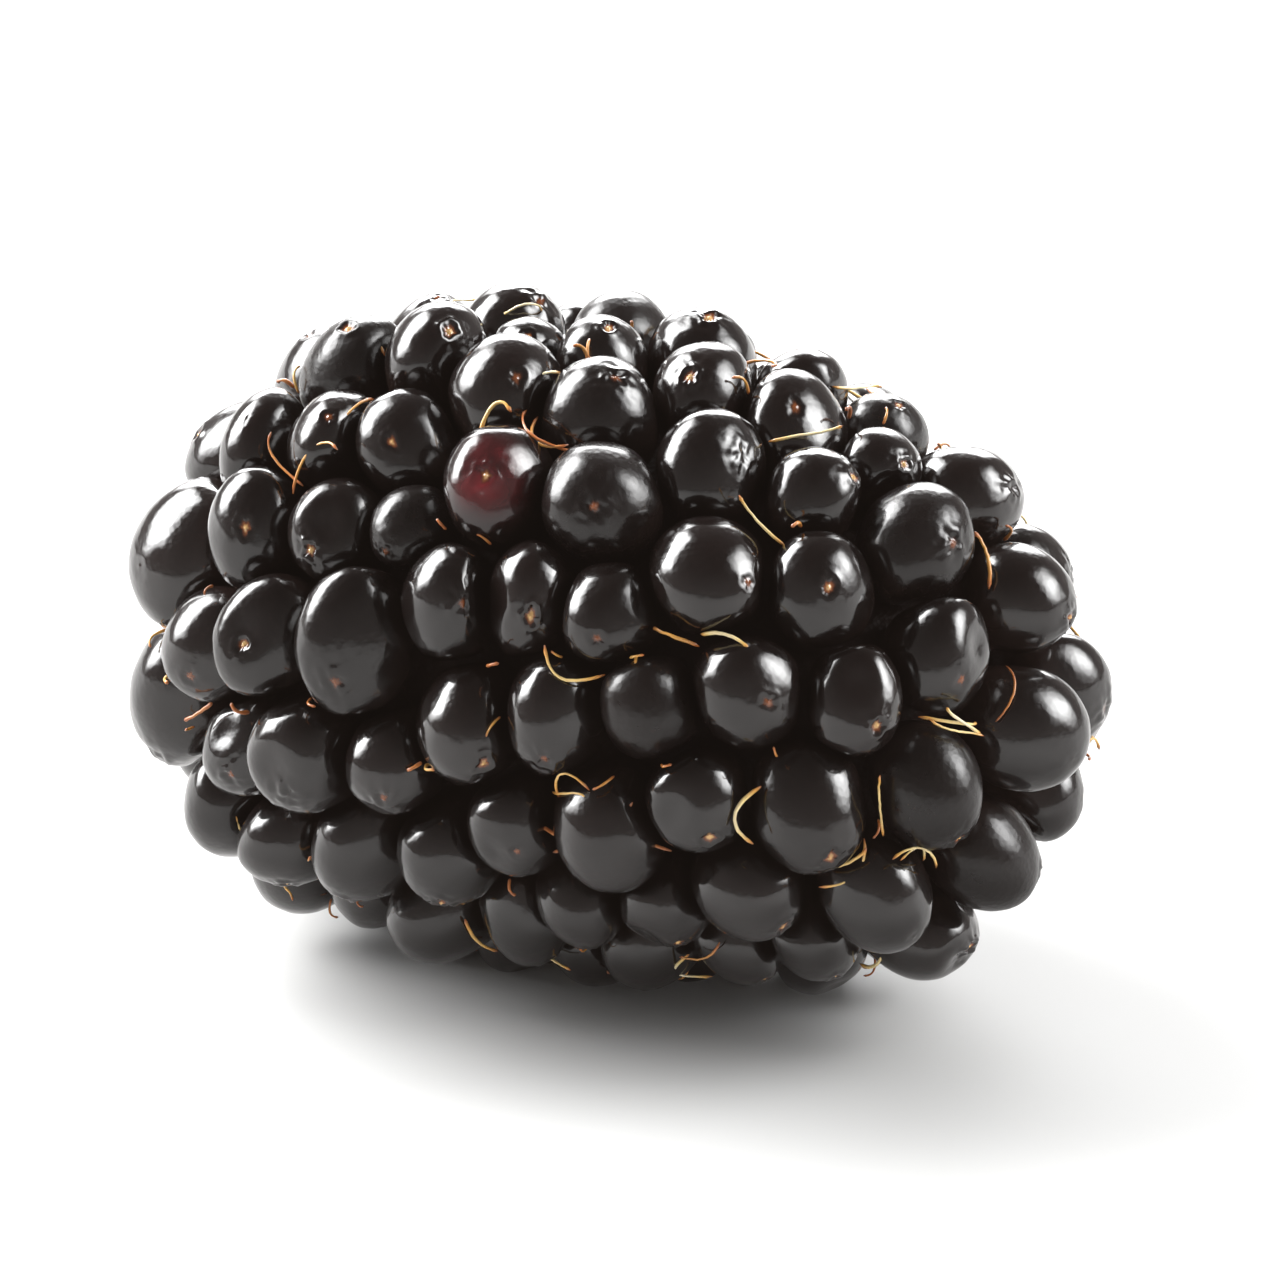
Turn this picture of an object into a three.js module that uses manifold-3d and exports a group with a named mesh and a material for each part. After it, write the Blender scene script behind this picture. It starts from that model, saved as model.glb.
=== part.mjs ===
// A bramble berry, as picked, lying on its side.
//
// Units are millimetres and +Z is up. +X runs along the berry, from the end that sat on the
// stalk to the tip. The origin is the middle of the berry's bounding box, on the surface that
// the berry lies on.
//
// The berry is one grown body. Its drupelets are crowded over a fleshy receptacle, and where
// the stalk broke away they leave a shallow round scar. The drupelets follow one another in a
// tight spiral from the scar to the tip, and then nudge each other until they have settled.

import * as THREE from 'three';
import { mergeVertices } from 'three/addons/utils/BufferGeometryUtils.js';
import Module from 'manifold-3d';

// ---- Driving dimensions ---------------------------------------------------------------

const BERRY_LENGTH = 34; // the smooth form that the tops of middling drupelets reach
const BERRY_WIDTH = 23.5;
const BERRY_BLUNTNESS = 2.6; // 2 is an ellipse, and more is squarer at the ends
const BERRY_TAPER = 0.07; // how much slimmer the tip is, and stouter the stalk end
const BERRY_BEND = 0.9; // how far the middle stands off a straight line between the ends

const DRUPELET_COUNT = 136;
const DRUPELET_LENGTH = 3.6; // along the berry
const DRUPELET_BREADTH = 4.4; // round the berry
const CROWN_HEIGHT = 2.1; // from the seat to the top of a drupelet
const ROOT_DEPTH = 2.6; // from the seat down into the receptacle
const TURN_BETWEEN = THREE.MathUtils.degToRad(47.6); // lines them up in 15 leaning rows
const SEAT_UNEVENNESS = 0.35; // how far a drupelet may stand in or out
const SIZE_SPREAD = 0.13; // how much larger or smaller than the middling size one may be
const SMALL_SHARE = 0.08; // the share that stayed small
const SMALL_SIZE = 0.76;
const DRUPELET_SIDES = 7;
const DRUPELET_RINGS = 5;

const SETTLED_SPACING = 4.33; // two middling drupelets side by side push each other this far apart
const CLOSER_ALONG = DRUPELET_BREADTH / DRUPELET_LENGTH; // and one behind the other, so much less
const SETTLING_ROUNDS = 60;
const SETTLING_STEP = 0.25; // the share of an overlap that one round takes away

const RECEPTACLE_INSET = 0.2; // from the seat in to the receptacle's surface
const SCAR_RADIUS = 3.6;
const SCAR_DISH = 0.7;
const RECEPTACLE_SIDES = 14;
const RECEPTACLE_STEPS = 8;

const LYING_ROLL = THREE.MathUtils.degToRad(105); // about the berry's length
const LYING_PITCH = THREE.MathUtils.degToRad(1); // tip down
const FLAT_DEPTH = 0.3; // how far the lowest drupelets are pressed flat

const SEED = 20611;
const WALK_STEPS = 4000; // short steps along the outline, to share out the skin
const SAME_CORNER = 1e-4; // corners closer than this are one

const SKIN = new THREE.MeshStandardMaterial({ color: 0x17111a, roughness: 0.25, metalness: 0 });

// ---- The seat, on which the drupelets stand ---------------------------------------------

const SEAT_HALF_LENGTH = BERRY_LENGTH / 2 - CROWN_HEIGHT;
const SEAT_HALF_WIDTH = BERRY_WIDTH / 2 - CROWN_HEIGHT;

// Moves a point straight towards or away from the middle until it is on the seat.
function ontoSeat(point) {
	const along = Math.abs(point.x) / SEAT_HALF_LENGTH;
	const across = Math.hypot(point.y, point.z) / SEAT_HALF_WIDTH;
	const reach = (along ** BERRY_BLUNTNESS + across ** BERRY_BLUNTNESS) ** (1 / BERRY_BLUNTNESS);
	return point.divideScalar(reach);
}

// The direction straight out of the seat.
function seatNormal(point) {
	const power = BERRY_BLUNTNESS - 1;
	const radius = Math.hypot(point.y, point.z);
	const along = (Math.abs(point.x) / SEAT_HALF_LENGTH) ** power / SEAT_HALF_LENGTH;
	const across = (radius / SEAT_HALF_WIDTH) ** power / SEAT_HALF_WIDTH;
	return new THREE.Vector3(
		Math.sign(point.x) * along,
		across * point.y / radius,
		across * point.z / radius
	).normalize();
}

// A point of the seat's outline: 0 is the stalk end and 1 is the tip.
function outline(share, halfLength, halfWidth) {
	const angle = Math.PI * share;
	const power = 2 / BERRY_BLUNTNESS;
	return new THREE.Vector2(
		-Math.sign(Math.cos(angle)) * Math.abs(Math.cos(angle)) ** power * halfLength,
		Math.sin(angle) ** power * halfWidth
	);
}

// ---- The drupelets ------------------------------------------------------------------------

let randomState = SEED;

function random() {
	randomState = randomState * 16807 % 2147483647;
	return randomState / 2147483647;
}

function randomBetween(low, high) {
	return low + (high - low) * random();
}

// Walks down the outline and sets a drupelet each time an equal share of the skin is passed.
function spiral() {
	const bands = [];
	let area = 0;
	for (let step = 0; step < WALK_STEPS; step += 1) {
		const from = outline(step / WALK_STEPS, SEAT_HALF_LENGTH, SEAT_HALF_WIDTH);
		const to = outline((step + 1) / WALK_STEPS, SEAT_HALF_LENGTH, SEAT_HALF_WIDTH);
		const middle = from.clone().add(to).multiplyScalar(0.5);
		const isScar = middle.x < 0 && middle.y < SCAR_RADIUS;
		if (!isScar) {
			area += 2 * Math.PI * middle.y * from.distanceTo(to);
			bands.push({ middle, area });
		}
	}
	const drupelets = [];
	let band = 0;
	for (let index = 0; index < DRUPELET_COUNT; index += 1) {
		while (bands[band].area < (index + 0.5) * area / DRUPELET_COUNT) {
			band += 1;
		}
		const { middle } = bands[band];
		const turn = index * TURN_BETWEEN;
		const small = random() < SMALL_SHARE ? SMALL_SIZE : 1;
		drupelets.push({
			place: new THREE.Vector3(middle.x, middle.y * Math.cos(turn), middle.y * Math.sin(turn)),
			size: small * randomBetween(1 - SIZE_SPREAD, 1 + SIZE_SPREAD),
			stand: randomBetween(-SEAT_UNEVENNESS, SEAT_UNEVENNESS),
			spin: randomBetween(0, 2 * Math.PI)
		});
	}
	return drupelets;
}

// Lets the drupelets push each other along the seat, and away from the scar.
function settle(drupelets) {
	const scar = new THREE.Vector3(-SEAT_HALF_LENGTH, 0, 0);
	for (let round = 0; round < SETTLING_ROUNDS; round += 1) {
		const pushes = drupelets.map(() => new THREE.Vector3());
		drupelets.forEach((one, first) => {
			for (let second = first + 1; second < drupelets.length; second += 1) {
				const other = drupelets[second];
				const apart = one.place.clone().sub(other.place);
				const distance = Math.hypot(apart.x * CLOSER_ALONG, apart.y, apart.z);
				const overlap = SETTLED_SPACING * (one.size + other.size) / 2 - distance;
				if (overlap > 0) {
					apart.multiplyScalar(overlap * SETTLING_STEP / distance);
					pushes[first].add(apart);
					pushes[second].sub(apart);
				}
			}
			const fromScar = one.place.clone().sub(scar);
			const overlap = SCAR_RADIUS + DRUPELET_LENGTH * one.size / 2 - fromScar.length();
			if (overlap > 0) {
				pushes[first].add(fromScar.setLength(overlap));
			}
		});
		drupelets.forEach((one, index) => ontoSeat(one.place.add(pushes[index])));
	}
	return drupelets;
}

// One drupelet: a round crown, and a longer root that is sunk in the receptacle.
function drupeletShape({ place, size, stand, spin }) {
	const shape = new THREE.SphereGeometry(1, DRUPELET_SIDES, DRUPELET_RINGS);
	shape.rotateX(Math.PI / 2);
	shape.rotateZ(spin);
	const out = seatNormal(place);
	const round = new THREE.Vector3(1, 0, 0).cross(out).normalize();
	const along = round.clone().cross(out);
	const corner = new THREE.Vector3();
	const corners = shape.attributes.position;
	for (let index = 0; index < corners.count; index += 1) {
		corner.fromBufferAttribute(corners, index);
		const height = corner.z > 0 ? CROWN_HEIGHT : ROOT_DEPTH;
		const moved = place.clone();
		moved.addScaledVector(along, corner.x * size * DRUPELET_LENGTH / 2);
		moved.addScaledVector(round, corner.y * size * DRUPELET_BREADTH / 2);
		moved.addScaledVector(out, corner.z * size * height + stand);
		corners.setXYZ(index, moved.x, moved.y, moved.z);
	}
	return shape;
}

// ---- The receptacle -------------------------------------------------------------------------

// A smaller body inside the seat, cut off at the stalk end by the dished scar.
function receptacleShape() {
	const halfLength = SEAT_HALF_LENGTH - RECEPTACLE_INSET;
	const halfWidth = SEAT_HALF_WIDTH - RECEPTACLE_INSET;
	const profile = [new THREE.Vector2(0, SCAR_DISH - halfLength)];
	for (let step = 0; step <= RECEPTACLE_STEPS; step += 1) {
		const point = outline(step / RECEPTACLE_STEPS, halfLength, halfWidth);
		if (point.x > 0 || point.y >= SCAR_RADIUS) {
			profile.push(new THREE.Vector2(point.y, point.x));
		}
	}
	profile[profile.length - 1].x = 0;
	const shape = new THREE.LatheGeometry(profile, RECEPTACLE_SIDES);
	shape.rotateZ(-Math.PI / 2);
	return shape;
}

// ---- Form, lying and joining ------------------------------------------------------------------

// The taper and the bend of the whole berry, and then the way it lies.
function layDown(shape) {
	const corner = new THREE.Vector3();
	const corners = shape.attributes.position;
	for (let index = 0; index < corners.count; index += 1) {
		corner.fromBufferAttribute(corners, index);
		const along = corner.x / SEAT_HALF_LENGTH;
		const slimmer = 1 - BERRY_TAPER * along;
		const bent = corner.y * slimmer - BERRY_BEND * along ** 2;
		corners.setXYZ(index, corner.x, bent, corner.z * slimmer);
	}
	shape.rotateX(LYING_ROLL);
	shape.rotateY(LYING_PITCH);
	return shape;
}

const wasm = await Module();
wasm.setup();

// A closed shape as a solid that can be joined and cut.
function solid(shape) {
	shape.deleteAttribute('normal');
	shape.deleteAttribute('uv');
	const merged = mergeVertices(shape, SAME_CORNER);
	return new wasm.Manifold(new wasm.Mesh({
		numProp: 3,
		vertProperties: new Float32Array(merged.attributes.position.array),
		triVerts: new Uint32Array(merged.index.array)
	}));
}

// The corners and triangles of a solid.
function geometryOf(body) {
	const mesh = body.getMesh();
	const shape = new THREE.BufferGeometry();
	shape.setAttribute('position', new THREE.BufferAttribute(mesh.vertProperties, 3));
	shape.setIndex(new THREE.BufferAttribute(mesh.triVerts, 1));
	return shape;
}

// Everything below the surface that the berry lies on.
function tableBlock(top) {
	const size = 2 * BERRY_LENGTH;
	const block = new THREE.BoxGeometry(size, size, size);
	block.translate(0, 0, top - size / 2);
	return block;
}

// The whole fruit, with its lowest drupelets pressed flat where they carry it.
function berryShape() {
	const drupelets = settle(spiral());
	let body = solid(layDown(receptacleShape()));
	for (const drupelet of drupelets) {
		body = body.add(solid(layDown(drupeletShape(drupelet))));
	}
	const loose = geometryOf(body);
	loose.computeBoundingBox();
	body = body.subtract(solid(tableBlock(loose.boundingBox.min.z + FLAT_DEPTH)));
	const shape = geometryOf(body);
	shape.computeBoundingBox();
	const { min, max } = shape.boundingBox;
	return shape.translate(-(min.x + max.x) / 2, -(min.y + max.y) / 2, -min.z);
}

const group = new THREE.Group();
const berry = new THREE.Mesh(berryShape(), SKIN);
berry.name = 'berry';
group.add(berry);

export default group;
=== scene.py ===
"""A picked bramble berry lying on its side on a pale floor, in plain soft studio light.

The drupelets stand where the solid berry has them: they follow one another in a tight spiral
from the stalk end to the tip and then nudge each other until they have settled. Here each one
gets its full roundness, the small pit where its style stood, and flat sides where it leans on
its neighbours.
"""

import math

import bpy
import numpy as np
from mathutils import Matrix, Vector, noise


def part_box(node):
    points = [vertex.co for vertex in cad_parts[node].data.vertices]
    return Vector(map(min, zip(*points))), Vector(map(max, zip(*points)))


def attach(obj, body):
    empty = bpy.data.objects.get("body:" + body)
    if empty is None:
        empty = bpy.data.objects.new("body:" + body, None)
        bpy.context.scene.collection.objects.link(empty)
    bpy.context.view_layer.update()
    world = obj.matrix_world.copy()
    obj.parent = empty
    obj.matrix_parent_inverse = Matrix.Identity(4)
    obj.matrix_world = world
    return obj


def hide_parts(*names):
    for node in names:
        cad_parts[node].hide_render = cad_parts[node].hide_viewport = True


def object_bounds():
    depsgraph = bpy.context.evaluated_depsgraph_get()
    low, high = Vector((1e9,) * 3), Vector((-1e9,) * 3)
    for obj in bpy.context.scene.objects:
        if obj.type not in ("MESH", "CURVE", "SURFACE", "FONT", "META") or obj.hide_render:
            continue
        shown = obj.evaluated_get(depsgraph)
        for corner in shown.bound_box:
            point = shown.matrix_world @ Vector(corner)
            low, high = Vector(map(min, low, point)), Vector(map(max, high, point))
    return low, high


MM = 0.001

# ---- The berry's form, as in the solid ----------------------------------------------------------

BERRY_LENGTH = 34 * MM
BERRY_WIDTH = 23.5 * MM
BERRY_BLUNTNESS = 2.6
BERRY_TAPER = 0.07
BERRY_BEND = 0.9 * MM

DRUPELET_COUNT = 136
DRUPELET_LENGTH = 3.6 * MM
DRUPELET_BREADTH = 4.4 * MM
CROWN_HEIGHT = 2.1 * MM
ROOT_DEPTH = 2.6 * MM
TURN_BETWEEN = math.radians(47.6)
SEAT_UNEVENNESS = 0.35 * MM
SIZE_SPREAD = 0.13
SMALL_SHARE = 0.08
SMALL_SIZE = 0.76

SETTLED_SPACING = 4.33 * MM
CLOSER_ALONG = DRUPELET_BREADTH / DRUPELET_LENGTH
SETTLING_ROUNDS = 60
SETTLING_STEP = 0.25

SCAR_RADIUS = 3.6 * MM
SCAR_DISH = 0.7 * MM
SCAR_INSET = 0.2 * MM

LYING_ROLL = math.radians(105)
LYING_PITCH = math.radians(1)
FLAT_DEPTH = 0.3 * MM

SEED = 20611
RANDOM_FACTOR = 16807
RANDOM_LIMIT = 2147483647
WALK_STEPS = 4000

SEAT_HALF_LENGTH = BERRY_LENGTH / 2 - CROWN_HEIGHT
SEAT_HALF_WIDTH = BERRY_WIDTH / 2 - CROWN_HEIGHT
SCAR_MIDDLE = np.array([-SEAT_HALF_LENGTH, 0, 0])
STRETCH_ALONG = np.array([CLOSER_ALONG, 1, 1])  # drupelets sit closer along the berry

# ---- The drupelets' finer form, only here -------------------------------------------------------
# Reliefs are shares of a drupelet's radius, and widths and places on it are angles in radians.

DETAIL_SEED = 7
DRUPELET_PIECES = (
    "drupelets_stalk_end",
    "drupelets_middle_near_stalk",
    "drupelets_middle_near_tip",
    "drupelets_tip_end",
)
RINGS = 42
SEGMENTS = 56
RING_CROWDING = 1.6  # more than 1 crowds the rings round the style pit

BREADTH_SWELL = 0.95  # the rows stand a little apart
HEIGHT_SWELL = 0.99
ROOT_SLIMMING = 0.3
UNEVEN_SHAPE = 0.05  # spread of how much longer or broader than usual they are
LEAN = 0.12  # spread of the slope at which they lean
SCAR_LEAN = 0.4  # the drupelets round the stalk's scar lean over its edge
SCAR_LEAN_REACH = 3.5 * MM
NEIGHBOURS = 6
MOST_ROOM = 1.12  # the most that one grows where its neighbours stand further off

LUMP_HEIGHT = 0.04
LUMP_LAYERS = ((1.1, 1), (3.1, 0.25), (8.5, 0.05))  # how fine each is, and how strong
NOISE_STEP = (7.3, 3.1)  # far enough that no drupelet repeats its neighbour's lumps

PIT_LOW_TILT = 0.3
PIT_HIGH_TILT = 0.8
PIT_HEADING = -0.75  # the styles lean to the tip and a little round the berry
PIT_HEADING_SPREAD = 0.55
PIT_STRENGTHS = (0.15, 0.5, 0.8, 1.2)
PIT_DEPTH = 0.06
PIT_WIDTH = 0.11
PIT_EDGE_FINENESS = 1.5
PIT_UNROUNDNESS = 0.4
RIM_HEIGHT = 0.02
RIM_PLACE = 0.19
RIM_WIDTH = 0.06
RIM_UNROUNDNESS = 0.35
NUB_HEIGHT = 0.05
NUB_WIDTH = 0.04
PIT_SCAR_SPREAD = 0.09
PIT_SCAR_UNROUNDNESS = 0.5

RUGGED_SHARE = 0.4
RUGGED_HEIGHT = 0.05
RUGGED_WIDTH = 0.36
RUGGED_FINENESS = 7
DENTED_SHARE = 0.14
DENT_DEPTH = 0.16
DENT_WIDTH = 0.42
DENT_STRAY = 0.5

CONTACT_REACH = 6.5 * MM
CONTACT_GAP = 0.04 * MM
CONTACT_SOFTNESS = 0.45 * MM
TABLE_SOFTNESS = 0.15 * MM

BLUSHED = (12, 61, 88, 126)  # still a little red, counted from the stalk end
BLUSH_SPREAD = 0.5
# Drupelets turn paler and redder towards their bases: partly their real colour, partly painted light
# that lifts the shaded gaps between them.
ROOT_PALE_AND_GAP_LIGHT_FROM = 0.35
DULL_SHARE = 0.12
DULL_FROM = 0.6  # 0 is the glossiest skin and 1 the dullest

# ---- The receptacle's finer form ----------------------------------------------------------------
# A place on it is 0 in the middle of the scar, 1 at its rim and 2 at the tip.

RECEPTACLE_INSET = 1.9 * MM
RECEPTACLE_SIDES = 144
RECEPTACLE_STEPS = 60
NEARLY_TIP = 0.995
SCAR_RINGS = 26
SCAR_FIRST_RING = 0.03
SCAR_BOSS = 0.25 * MM
SCAR_BOSS_SHARE = 0.2  # of the scar's radius
SCAR_RIDGES = 0.22 * MM
SCAR_TEARS = 0.45 * MM
SCAR_GRAIN = 0.06 * MM
SCAR_RAGGED = 0.14
SCAR_RAGGED_STRANDS = 0.5  # how much the strands add to the ragged edge
STRAND_FINENESS = (9, 2)  # round the berry and along it
PATCH_FINENESS = (2.2, 3)
SPECK_FINENESS = 14
STAIN_FROM = 0.86
STAIN_PATCHES = 0.22
STAIN_STREAKS = 0.12
STAIN_STEEPNESS = 5
MOST_STAIN = 0.9
USUAL_FIBRE = 0.4  # 0 is plain cream and 1 all fibre
FIBRE_STREAKS = 1.3
FIBRE_SPECKS = 0.5

# ---- The dry styles -----------------------------------------------------------------------------
# Each follows a curve with four controls. Their slides along a groove, drifts across it and
# heights out of it are in millimetres, except where a note says that they are shares.

THREAD_COUNT = 95
STUB_COUNT = 75
THREAD_RADIUS = 0.058 * MM
THREAD_WOBBLE = 0.006 * MM
THREAD_SIDES = 7
THREAD_STEPS = 16
SIDE_HINT = (0.3, 0.5, 0.8)  # no thread runs quite this way
POCKET_REACH = 4.9 * MM  # drupelets closer than this have a groove between them

THREAD_HABITS = ((0.1, 0.1), (0.8, 0.1), (0.2, 0.9))  # bow and hook: straight, bowed, hooked
HABIT_SHARES = (0.4, 0.35, 0.25)
THREAD_REACHES = (0.45, 1.25)
SLIDES = np.array([-1, -0.35, 0.45, 1])  # shares of the thread's reach
SLIDES_HOOKED = np.array([0, 0, 0, -0.5])  # what a full hook adds to them
SLIDE_STRAY = 0.1
DRIFTS_BOWED = np.array([-0.5, 1, 1, -0.3])
DRIFTS_HOOKED = np.array([0, 0, 0, 1])
DRIFT_STRAY = 0.12
LOWEST_HEIGHTS = (0.7, 1.15, 1.15, 0.9)
HIGHEST_HEIGHTS = (1.2, 1.8, 1.8, 1.95)

STUB_SLIDE_STRAY = 0.5
STUB_HEIGHTS = (0.8, 1.3)
STUB_LENGTHS = (0.4, 0.9)
STUB_FORM = ((0, 0), (0.5, 0.1), (0.9, 0.3), (0.7, 0.8))  # up and sideways, as shares of its length

# A thread's thickness along it, as shares of its radius.
THICKNESSES = (0.7, 1.25)
ROOT_THICKNESS = 1.1
TAPER = 0.35
KNOB_HEIGHT = 0.35
KNOB_PLACE = 0.95
KNOB_WIDTH = 0.05
WAVE_HEIGHT = 0.08
WAVE_PACES = (6, 14)  # radians from end to end
WAVE_STARTS = (0, 6)
END_THICKNESS = 0.4
END_STEEPNESS = 12
THREAD_TONES = (0.25, 1)  # 0 is rusty brown and 1 bright straw
STUB_TONES = (0.1, 0.6)
ENDS_DARKER = 0.7

# ---- Colours and grains -------------------------------------------------------------------------

SKIN_DARKEST = (0.0036, 0.0023, 0.0023, 1)
SKIN_LIGHTEST = (0.0085, 0.005, 0.0047, 1)
SKIN_MOTTLE = (0.006, 0.004, 0.0035, 1)
# Partly the real paler colour at a drupelet's base, partly painted light in the shaded gaps.
SKIN_ROOT_PALE_AND_GAP_LIGHT = (0.038, 0.022, 0.018, 1)
SKIN_BLUSH = (0.16, 0.017, 0.021, 1)
PIT_SCAR_COLOURS = (
    (0.15, (0.04, 0.012, 0.006, 1)),
    (0.5, (0.20, 0.06, 0.02, 1)),
    (0.85, (0.75, 0.46, 0.18, 1)),
)
PIT_SCAR_EDGE = (0.1, 0.4)  # hidden below the first of these, and all shown above the second

FLESH_CREAM = (0.31, 0.285, 0.18, 1)
FLESH_FIBRE = (0.20, 0.165, 0.085, 1)
FLESH_BROWNED = (0.16, 0.13, 0.06, 1)
FLESH_STAIN = (0.075, 0.022, 0.022, 1)
# The receptacle's body between the drupelets, near-black as painted shade in the gaps.
FLESH_GAP_SHADE_DARKEST = (0.008, 0.003, 0.0025, 1)
FLESH_GAP_SHADE = (0.016, 0.006, 0.0045, 1)

STYLE_COLOURS = (
    (0.0, (0.14, 0.035, 0.012, 1)),
    (0.25, (0.45, 0.13, 0.03, 1)),
    (0.5, (0.80, 0.42, 0.09, 1)),
    (0.75, (0.98, 0.76, 0.32, 1)),
    (1.0, (1.0, 0.93, 0.68, 1)),
)
STYLE_RUST = (0.45, 0.17, 0.04, 1)

FLOOR_GREY = (0.59, 0.59, 0.585, 1)
FLOOR_PALE = (0.63, 0.63, 0.625, 1)
FLOOR_MIRRORED = (0.35, 0.345, 0.34, 1)

ROOM_AT_HORIZON = (0.32, 0.295, 0.285, 1)
ROOM_OVERHEAD = (0.06, 0.053, 0.05, 1)
ROOM_ON_MATT = (0.45, 0.45, 0.45, 1)
ROOM_SEEN = (1, 1, 1, 1)

# Cells and ripples to the metre, and how much of the height the ripples make.
GRAIN_SETTINGS = ("Cell Scale", "Ripple Scale", "Ripple Share")
SKIN_GRAIN = (4500, 1500, 0.6)
FLESH_GRAIN = (5000, 900, 0.5)
STYLE_GRAIN = (9000, 2500, 0.8)
BLUSH_PATCHES = 600
BLUSH_PATCH_EDGE = (0.3, 0.6)
FLOOR_MOTTLE = 40

# How strong each fine relief is, and how high.
SKIN_RELIEF = (0.6, 0.04 * MM)
FLESH_RELIEF = (0.8, 0.12 * MM)
STYLE_RELIEF = (0.4, 0.03 * MM)

SKIN_ROUGHNESS = 0.1
DULL_ROUGHNESS = 0.12  # what the dullest skin adds to it
SKIN_MOTTLE_ROUGHNESS = 0.16
DULL_COAT_LOSS = 0.8
FLESH_ROUGHNESS = 0.4
FLESH_MOTTLE_ROUGHNESS = 0.3
FLESH_MOTTLE_SHARE = 0.4
STYLE_ROUGHNESS = 0.2
STYLE_MOTTLE_ROUGHNESS = 0.2
STYLE_MOTTLE_SHARE = 0.25

# ---- Camera and light ---------------------------------------------------------------------------

VIEW_AZIMUTH = math.radians(25)
VIEW_ELEVATION = math.radians(23)
LENS = 250
SENSOR = 36
VIEW_SHARE = 0.92  # how much of the view's width the berry fills
CLIP_START = 0.01
CLIP_END = 10
LENS_VEIL = (0.0066, 0.0049, 0.004)  # stray light in the lens, as shares of white
FLOOR_REACH = 3.0

# Each light runs from its low to its high end, given as the way there from the berry: right,
# away from the camera, and up. Its feather is the share of it that fades towards each edge.
SOFTBOXES = {
    "left_softbox": {
        "low_end": (-0.98, 0, 0.17),
        "high_end": (-0.2, 0.6, 0.77),
        "distance": 0.45,
        "width": 0.37,
        "brightness": 19,
        "feather": 0.3,
    },
    "right_softbox": {
        "low_end": (0.97, -0.2, 0.05),
        "high_end": (0.5, 0.25, 0.83),
        "distance": 0.45,
        "width": 0.41,
        "brightness": 14.5,
        "feather": 0.5,
    },
    "back_panel": {
        "low_end": (0, 1, 0.06),
        "high_end": (0, 0.79, 0.61),
        "distance": 0.7,
        "width": 0.66,
        "brightness": 15,
        "feather": 0.3,
    },
}


# ---- The spiral and its settling ----------------------------------------------------------------

random_state = SEED


def random():
    global random_state
    random_state = random_state * RANDOM_FACTOR % RANDOM_LIMIT
    return random_state / RANDOM_LIMIT


def random_between(low, high):
    return low + (high - low) * random()


def outline(share, half_length, half_width):
    """A point of the outline along and out from the berry's length: 0 is the stalk end, 1 the tip."""
    angle = math.pi * share
    power = 2 / BERRY_BLUNTNESS
    along = math.copysign(abs(math.cos(angle)) ** power, -math.cos(angle))
    return along * half_length, math.sin(angle) ** power * half_width


def onto_seat(points):
    """Moves points straight towards or away from the middle until they are on the seat."""
    along = np.abs(points[:, 0]) / SEAT_HALF_LENGTH
    across = np.hypot(points[:, 1], points[:, 2]) / SEAT_HALF_WIDTH
    reach = (along**BERRY_BLUNTNESS + across**BERRY_BLUNTNESS) ** (1 / BERRY_BLUNTNESS)
    return points / reach[:, None]


def seat_normals(points):
    """The directions straight out of the seat."""
    power = BERRY_BLUNTNESS - 1
    radius = np.hypot(points[:, 1], points[:, 2])
    along = (np.abs(points[:, 0]) / SEAT_HALF_LENGTH) ** power / SEAT_HALF_LENGTH
    across = (radius / SEAT_HALF_WIDTH) ** power / SEAT_HALF_WIDTH
    normals = np.stack(
        [np.sign(points[:, 0]) * along, across * points[:, 1] / radius, across * points[:, 2] / radius],
        axis=1,
    )
    return normals / np.linalg.norm(normals, axis=1, keepdims=True)


def spiral():
    """Walks down the outline and sets a drupelet each time an equal share of the skin is passed."""
    bands = []
    area = 0
    for step in range(WALK_STEPS):
        x0, r0 = outline(step / WALK_STEPS, SEAT_HALF_LENGTH, SEAT_HALF_WIDTH)
        x1, r1 = outline((step + 1) / WALK_STEPS, SEAT_HALF_LENGTH, SEAT_HALF_WIDTH)
        x, radius = (x0 + x1) / 2, (r0 + r1) / 2
        if x >= 0 or radius >= SCAR_RADIUS:
            area += 2 * math.pi * radius * math.hypot(x1 - x0, r1 - r0)
            bands.append((x, radius, area))
    places, sizes, stands, spins = [], [], [], []
    band = 0
    for index in range(DRUPELET_COUNT):
        while bands[band][2] < (index + 0.5) * area / DRUPELET_COUNT:
            band += 1
        x, radius, _ = bands[band]
        turn = index * TURN_BETWEEN
        places.append((x, radius * math.cos(turn), radius * math.sin(turn)))
        small = SMALL_SIZE if random() < SMALL_SHARE else 1
        sizes.append(small * random_between(1 - SIZE_SPREAD, 1 + SIZE_SPREAD))
        stands.append(random_between(-SEAT_UNEVENNESS, SEAT_UNEVENNESS))
        spins.append(random_between(0, 2 * math.pi))
    return np.array(places), np.array(sizes), np.array(stands), np.array(spins)


def settle(places, sizes):
    """Lets the drupelets push each other along the seat, and away from the scar."""
    wanted = SETTLED_SPACING * (sizes[:, None] + sizes[None]) / 2
    itself = np.eye(len(places), dtype=bool)
    for _ in range(SETTLING_ROUNDS):
        apart = places[:, None] - places[None]
        distance = np.linalg.norm(apart * STRETCH_ALONG, axis=2)
        distance[itself] = 1
        overlap = np.where(itself, 0, np.maximum(wanted - distance, 0))
        pushes = (apart * (overlap * SETTLING_STEP / distance)[:, :, None]).sum(axis=1)
        from_scar = places - SCAR_MIDDLE
        distance = np.linalg.norm(from_scar, axis=1)
        overlap = np.maximum(SCAR_RADIUS + DRUPELET_LENGTH * sizes / 2 - distance, 0)
        pushes += from_scar * (overlap / distance)[:, None]
        places = onto_seat(places + pushes)
    return places


# ---- Lying down ---------------------------------------------------------------------------------


def taper_and_bend(points):
    along = points[..., 0] / SEAT_HALF_LENGTH
    slimmer = 1 - BERRY_TAPER * along
    y = points[..., 1] * slimmer - BERRY_BEND * along**2
    return np.stack([points[..., 0], y, points[..., 2] * slimmer], axis=-1)


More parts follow.
